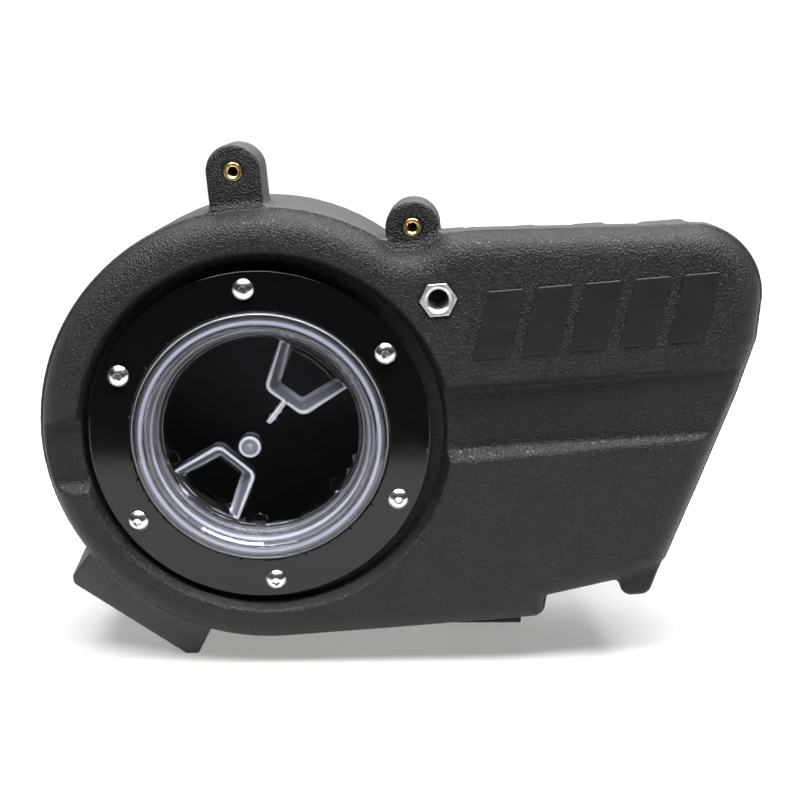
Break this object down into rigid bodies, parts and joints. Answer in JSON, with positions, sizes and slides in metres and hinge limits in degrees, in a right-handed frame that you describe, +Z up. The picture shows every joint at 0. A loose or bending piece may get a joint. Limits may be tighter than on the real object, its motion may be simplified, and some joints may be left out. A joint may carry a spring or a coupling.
{
  "type": "intercooler coolant reservoir",
  "caption": "Moulded coolant reservoir: round tank with a side arm, a bolted ring with a clear screw-out lid, mounting ears and threaded ports.",
  "frame": {"origin": "under the middle of the box, on the table line that the pad and the foot stand on", "axes": "+Z up, the lid faces -Y, +X to the right seen from the lid side; the tank is rolled 4.87 degrees as it stands"},
  "size_m": [0.4, 0.1158, 0.2983],
  "materials": {
    "tank_plastic": "black, fine pebble grain on the front half, smoother on the back half",
    "ring_plastic": "polished black",
    "rubber": "black seal rubber",
    "stainless": "satin stainless",
    "brass": "turned brass",
    "aluminium": "machined, slightly dull",
    "clear_plastic": "clear, moulded"
  },
  "bodies": {
    "tank": {"tank_shell": "tank_plastic", "access_ring": "ring_plastic", "ring_gasket": "rubber", "ring_screw_1": "stainless", "ring_screw_2": "stainless", "ring_screw_3": "stainless", "ring_screw_4": "stainless", "ring_screw_5": "stainless", "ring_screw_6": "stainless", "ring_insert_1": "brass", "ring_insert_2": "brass", "ring_insert_3": "brass", "ring_insert_4": "brass", "ring_insert_5": "brass", "ring_insert_6": "brass", "ear_insert_1": "brass", "ear_insert_2": "brass", "hex_port_insert": "aluminium", "hose_port_insert_1": "aluminium", "hose_port_insert_2": "aluminium"},
    "lid_lift": {"lid_o_ring": "rubber"},
    "lid_disc": {"lid": "clear_plastic"}
  },
  "joints": [
    {"name": "lid_rise", "type": "slide", "parent": "tank", "child": "lid_lift", "axis": [0, -1, 0], "range_m": [0, 0.03]},
    {"name": "lid_turn", "type": "hinge", "parent": "lid_lift", "child": "lid_disc", "pos_m": [-0.07661, -0.0539, 0.13689], "axis": [0, -1, 0], "range_deg": [0, 900]}
  ],
  "couplings": [
    {"joint": "lid_rise", "follows": "lid_turn", "m_per_rad": 0.0019099}
  ]
}
